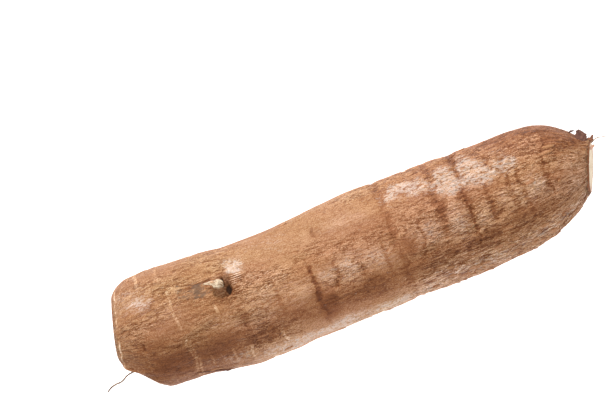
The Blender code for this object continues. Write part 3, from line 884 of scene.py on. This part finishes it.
# ----------------------------------------
# The splinters of the old stalk. Thin dark plates of dead bark and one point of rind, torn off short
# when the root was pulled from the stalk, and still fast in the root at their inner ends.
SPLINTERS = (
    # name, outline from above in mm, its height and rise to +X and +Y, thickness, finish
    ("stalk_splinter_1", ((129.0, 14.0), (131.4, 16.1), (132.9, 18.2), (134.4, 18.7), (135.4, 17.6),
                          (136.4, 16.1), (137.6, 14.6), (137.3, 13.6), (136.5, 12.4), (134.0, 9.5),
                          (130.5, 11.0)),
     40.2, -0.1, -0.22, 0.9, "dark"),
    ("stalk_splinter_2", ((134.0, 8.5), (136.4, 11.0), (136.9, 12.5), (138.0, 12.7), (138.6, 12.1),
                          (139.5, 12.9), (140.7, 13.2), (140.4, 12.2), (139.8, 11.2), (139.9, 10.2),
                          (139.2, 9.3), (137.4, 9.2), (135.0, 6.5)),
     39.6, 0.02, -0.15, 0.9, "rust"),
    ("stalk_splinter_3", ((126.0, 18.1), (128.6, 19.3), (130.4, 19.5), (132.2, 19.2), (132.0, 18.6),
                          (130.2, 18.6), (128.4, 17.8), (126.4, 16.6)),
     38.2, 0.0, -0.1, 0.8, "dark"),
    ("stalk_splinter_4", ((134.4, 6.0), (135.8, 7.6), (137.2, 8.1), (139.7, 8.1), (139.0, 7.4),
                          (138.2, 6.7), (137.0, 5.8)),
     41.6, -0.3, -0.1, 0.8, "rind"),
)


EVEN_STEP = 0.22  # the plates' mesh size, in mm
GRAIN_WAY = (0.64, -0.77, 0.0)  # the way the old stalk's fibres ran


def splinter_finish(name, low, high):
    """Dead fibre between a darker colour and a lighter one."""
    made, tree, shader = new_finish(name)
    place = place_in_mm(tree, -50)
    fibres = speckle(tree, place, (3.0, 0.4, 0.6), 4.0, 0.65)
    spots = speckle(tree, place, (2.5, 2.0, 2.0), 3.0)
    colour = two_tone(tree, fibres, 0.36, 0.64, low, high)
    colour = over(tree, spread(tree, spots, 0.5, 0.7, 0.0, 0.5), colour, rgb(*(c * 0.55 for c in low)))
    join(tree, shader, colour, spread(tree, fibres, 0.3, 0.7, 0.75, 0.5), fibres, strength=0.8, depth=0.3)
    return made


def torn_plate(name, outline, height, rise_x, rise_y, thick, seed):
    """A thin plate with a torn outline: filled, thickened, meshed evenly and roughened along its grain."""
    draw = np.random.default_rng(seed)
    corners = np.array(outline)
    middle = corners.mean(axis=0)
    ragged_edge = []
    for here, there in zip(corners, np.roll(corners, -1, axis=0)):
        for step in np.arange(0, 1, 0.25):
            ragged_edge.append(here + (there - here) * step + draw.normal(0, 0.09, 2) * (step > 0))
    bm = bmesh.new()
    edge = []
    for x, y in ragged_edge:
        under = height + rise_x * (x - middle[0]) + rise_y * (y - middle[1]) - thick / 2
        edge.append(bm.verts.new(Vector((x, y, under)) * MM))
    lifted = bmesh.ops.extrude_face_region(bm, geom=[bm.faces.new(edge)])["geom"]
    upper = [part for part in lifted if isinstance(part, bmesh.types.BMVert)]
    bmesh.ops.translate(bm, vec=(0, 0, thick * MM), verts=upper)
    bmesh.ops.recalc_face_normals(bm, faces=bm.faces)
    bmesh.ops.triangulate(bm, faces=bm.faces)
    mesh = bpy.data.meshes.new(name)
    bm.to_mesh(mesh)
    bm.free()
    made = placed(name, mesh)
    remesh = made.modifiers.new("even", "REMESH")
    remesh.mode = "VOXEL"
    remesh.voxel_size = EVEN_STEP * MM
    shaped = made.evaluated_get(bpy.context.evaluated_depsgraph_get())
    even_mesh = bpy.data.meshes.new_from_object(shaped)
    made.modifiers.clear()
    made.data = even_mesh
    bpy.data.meshes.remove(mesh)
    bm = bmesh.new()
    bm.from_mesh(even_mesh)
    bm.normal_update()
    for _ in range(2):
        bmesh.ops.smooth_vert(bm, verts=bm.verts, factor=0.5,
                              use_axis_x=True, use_axis_y=True, use_axis_z=True)
    grain_way = Vector(GRAIN_WAY)
    for vertex in bm.verts:
        place = vertex.co / MM
        along_grain = place.dot(grain_way)
        across_grain = place - grain_way * along_grain
        ridge = noise.noise(across_grain * 1.5 + grain_way * (along_grain * 0.3) + Vector((seed, 0, 0)))
        lump = noise.noise(place * 0.6 + Vector((0, seed, 0)))
        vertex.co += vertex.normal * (0.22 * ridge + 0.2 * lump) * MM
    bm.to_mesh(even_mesh)
    bm.free()
    even_mesh.shade_smooth()
    return made


splinter_finishes = {
    "dark": splinter_finish("dead_stalk", (84, 50, 38), (134, 88, 70)),
    "rust": splinter_finish("rusty_stalk", (96, 54, 34), (168, 106, 70)),
    "rind": splinter_finish("torn_rind", (214, 160, 130), (244, 206, 182)),
}
for seed, (name, outline, height, rise_x, rise_y, thick, finish) in enumerate(SPLINTERS, start=81):
    plate = torn_plate(name, outline, height, rise_x, rise_y, thick, seed)
    plate.data.materials.append(splinter_finishes[finish])
    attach(plate, "root")
    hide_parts("cassava_root")

# ----------------------------------------
# The loose flakes. Scales of dry cork, thin as paper, that split along the bark; each is still joined to
# the root at one end and curls up a little at the other.
FLAKES = 90
FLAKE_LENGTHS, FLAKE_WIDTHS = (2.0, 6.5), (0.5, 1.4)  # in mm; widths from the middle line
FLAKE_STEPS = (9, 5)  # points along and across


def on_bark(ring, line):
    """The bark's points, and the way it faces, at these fractional rings and lines of points."""
    ring = np.clip(ring, 0, ROWS - 1.001)
    low_ring, low_line = np.floor(ring).astype(int), np.floor(line).astype(int)
    ring_part, line_part = (ring - low_ring)[..., None], (line - low_line)[..., None]
    place = 0
    for ring_on, share_r in ((0, 1 - ring_part), (1, ring_part)):
        for line_on, share_l in ((0, 1 - line_part), (1, line_part)):
            corner = (low_ring + ring_on, (low_line + line_on) % COLUMNS)
            place = place + share_r * share_l * np.concatenate((skin[corner], facing[corner]), axis=-1)
    return place[..., :3], place[..., 3:]


# The faces of one flake: those of its upper and lower layers, and the narrow ones round its edge.
steps_u, steps_v = FLAKE_STEPS
layer_size = steps_u * steps_v
flake_faces = []
for a in range(steps_u - 1):
    for b in range(steps_v - 1):
        quad = [a * steps_v + b, (a + 1) * steps_v + b, (a + 1) * steps_v + b + 1, a * steps_v + b + 1]
        flake_faces.append(quad)
        flake_faces.append([corner + layer_size for corner in reversed(quad)])
edge = [a * steps_v for a in range(steps_u - 1)]
edge += [(steps_u - 1) * steps_v + b for b in range(steps_v)]
edge += [a * steps_v + steps_v - 1 for a in range(steps_u - 2, 0, -1)]
edge += list(range(steps_v - 1, 0, -1))
for here, there in zip(edge, edge[1:] + edge[:1]):
    flake_faces.append([there, here, here + layer_size, there + layer_size])

draw = np.random.default_rng(91)
corners, faces, grains = [], [], []
for flake in range(FLAKES):
    # Most are towards the stem, and on the lower side; the others are anywhere.
    if flake % 3:
        middle_along, middle_turn = draw.triangular(120, 250, 268), draw.uniform(-115, -48)
    else:
        middle_along, middle_turn = draw.uniform(20, 266), draw.uniform(-130, 130)
    if flake % 3 == 0 and abs(middle_turn) < 60:
        middle_along = draw.uniform(180, 266)
    if 15 < middle_turn < 80 and 150 < middle_along < 250:
        middle_turn -= 130  # none where the bloom is thick
    length, width = draw.uniform(*FLAKE_LENGTHS), draw.uniform(*FLAKE_WIDTHS)
    lift, lean = draw.uniform(0.15, 0.6), draw.normal(0, 0.12)
    u, v = np.meshgrid(np.linspace(0, 1, steps_u), np.linspace(-1, 1, steps_v), indexing="ij")
    if draw.random() < 0.5:
        u = u[::-1]
    line = np.full_like(u, (middle_turn + 180) / 360 * COLUMNS)
    middle_ring = np.interp(middle_along, along[:, int(line[0, 0]) % COLUMNS], rings)
    narrowing = np.sin(math.pi * (0.12 + 0.76 * u)) ** 0.7 * (1 + draw.normal(0, 0.1, (len(u), 1)))
    sideways = v * width * narrowing + lean * (u - 0.5) * length
    place, out = on_bark(middle_ring + (u - 0.5) * length / ROW_STEP, line + sideways / COLUMN_STEP)
    rise = lift * u ** 2 - 0.08 * v ** 2
    first_corner = len(corners)
    for layer in (rise + 0.16, rise - 0.1 * (1 - u) - 0.04):
        corners += (place + out * layer[..., None]).reshape(-1, 3).tolist()
        spread_out = np.stack((middle_along + u * length, sideways + 40 * flake, 0 * u), axis=-1)
        grains += spread_out.reshape(-1, 3).tolist()
    flipped = u[0, 0] > u[-1, 0]
    for face in flake_faces:
        face = [first_corner + corner for corner in face]
        faces.append(face[::-1] if flipped else face)

flakes_mesh = bpy.data.meshes.new("loose_bark_flakes")
flakes_mesh.from_pydata((np.array(corners) * MM).tolist(), [], faces)
flakes_mesh.shade_smooth()
flakes_mesh.attributes.new("grain", "FLOAT_VECTOR", "POINT").data.foreach_set("vector", np.ravel(grains))
flakes_mesh.materials.append(bark_mesh.materials[0])
loose_flakes = placed("loose_bark_flakes", flakes_mesh)
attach(loose_flakes, "root")
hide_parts("cassava_root")

# ----------------------------------------
# The torn strip. A thin dark string of dead bark along the root's lower edge, which ends in a hard
# little knot; it was scraped loose when the root was dug up, and lies tight against the bark.
STRIP = (  # mm from the tail tip, turn, and its radius there
    (37.5, -68, 0.1), (40, -70, 0.25), (43, -72, 0.3), (46, -74, 0.3), (49, -77, 0.32), (51.5, -79, 0.4),
    (53.2, -81, 0.75), (54.4, -81, 0.5), (55.2, -81, 0.15),
)
strip_places = []
for at, strip_turn, radius in STRIP:
    line = (strip_turn + 180) / 360 * COLUMNS
    ring = np.interp(at, along[:, int(line)], rings)
    place, out = on_bark(np.array(ring), np.array(line))
    strip_places.append((tuple(place + 0.15 * out), radius))
strip = rootlet("torn_bark_strip", strip_places, rings=70, sides=12, knots=0.15, seed=74)
strip.data.materials.append(splinter_finishes["dark"])
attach(strip, "root")
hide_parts("cassava_root")

# ----------------------------------------
# The table and the studio. A sweep of white paper lies flat under the root. Three soft boxes light it
# from above and from the far side, and the camera looks straight down.
SWEEP_SIZE, SWEEP_DROP = 8.0, 0.0002  # in m; it lies a hair below the root, so that the two never mix
bpy.ops.mesh.primitive_plane_add(size=SWEEP_SIZE, location=(0, 0, -SWEEP_DROP))
floor = bpy.context.object
floor.name = "floor"
paper, _, paper_shader = new_finish("paper")
paper_shader.inputs["Base Color"].default_value = (0.93, 0.93, 0.93, 1)
paper_shader.inputs["Roughness"].default_value = 0.9
paper_shader.inputs["Emission Color"].default_value = (1, 1, 1, 1)
paper_shader.inputs["Emission Strength"].default_value = 0.9
floor.data.materials.append(paper)

world = bpy.data.worlds.new("studio")
bpy.context.scene.world = world
world.use_nodes = True
world.node_tree.nodes["Background"].inputs["Color"].default_value = (1, 1, 1, 1)
world.node_tree.nodes["Background"].inputs["Strength"].default_value = 0.18
bpy.context.scene.view_settings.view_transform = "Standard"


def soft_box(name, way, far, length, width, watts):
    """A lamp as long as this along the root, which shines on it from this way: along, across and up."""
    lamp = bpy.data.lights.new(name, "AREA")
    lamp.shape = "RECTANGLE"
    lamp.size, lamp.size_y = length, width
    lamp.energy = watts
    made = placed(name, lamp)
    made.location = Vector(way).normalized() * far
    made.rotation_euler = (-Vector(way)).to_track_quat("-Z", "Y").to_euler()


soft_box("key", (-0.2, 1.0, 0.5), far=1.5, length=0.9, width=0.4, watts=20)
soft_box("sheen", (0.0, -0.34, 1.0), far=1.6, length=0.9, width=0.12, watts=9)
soft_box("fill", (0.0, -0.05, 1.0), far=1.7, length=1.0, width=0.8, watts=7)

CAMERA_ROLL = math.radians(-21.6)  # the root rises to the right in the view
VIEW_MIDDLE = Vector((-15.5, 35.0, 30.0)) * MM
CAMERA_HEIGHT = 1.235  # above what it looks at, in m
camera = bpy.data.cameras.new("camera")
camera.lens = 135
camera.sensor_width = 36
camera_object = placed("camera", camera)
camera_object.location = VIEW_MIDDLE + Vector((0, 0, CAMERA_HEIGHT))
camera_object.rotation_euler = (0, 0, CAMERA_ROLL)
bpy.context.scene.camera = camera_object
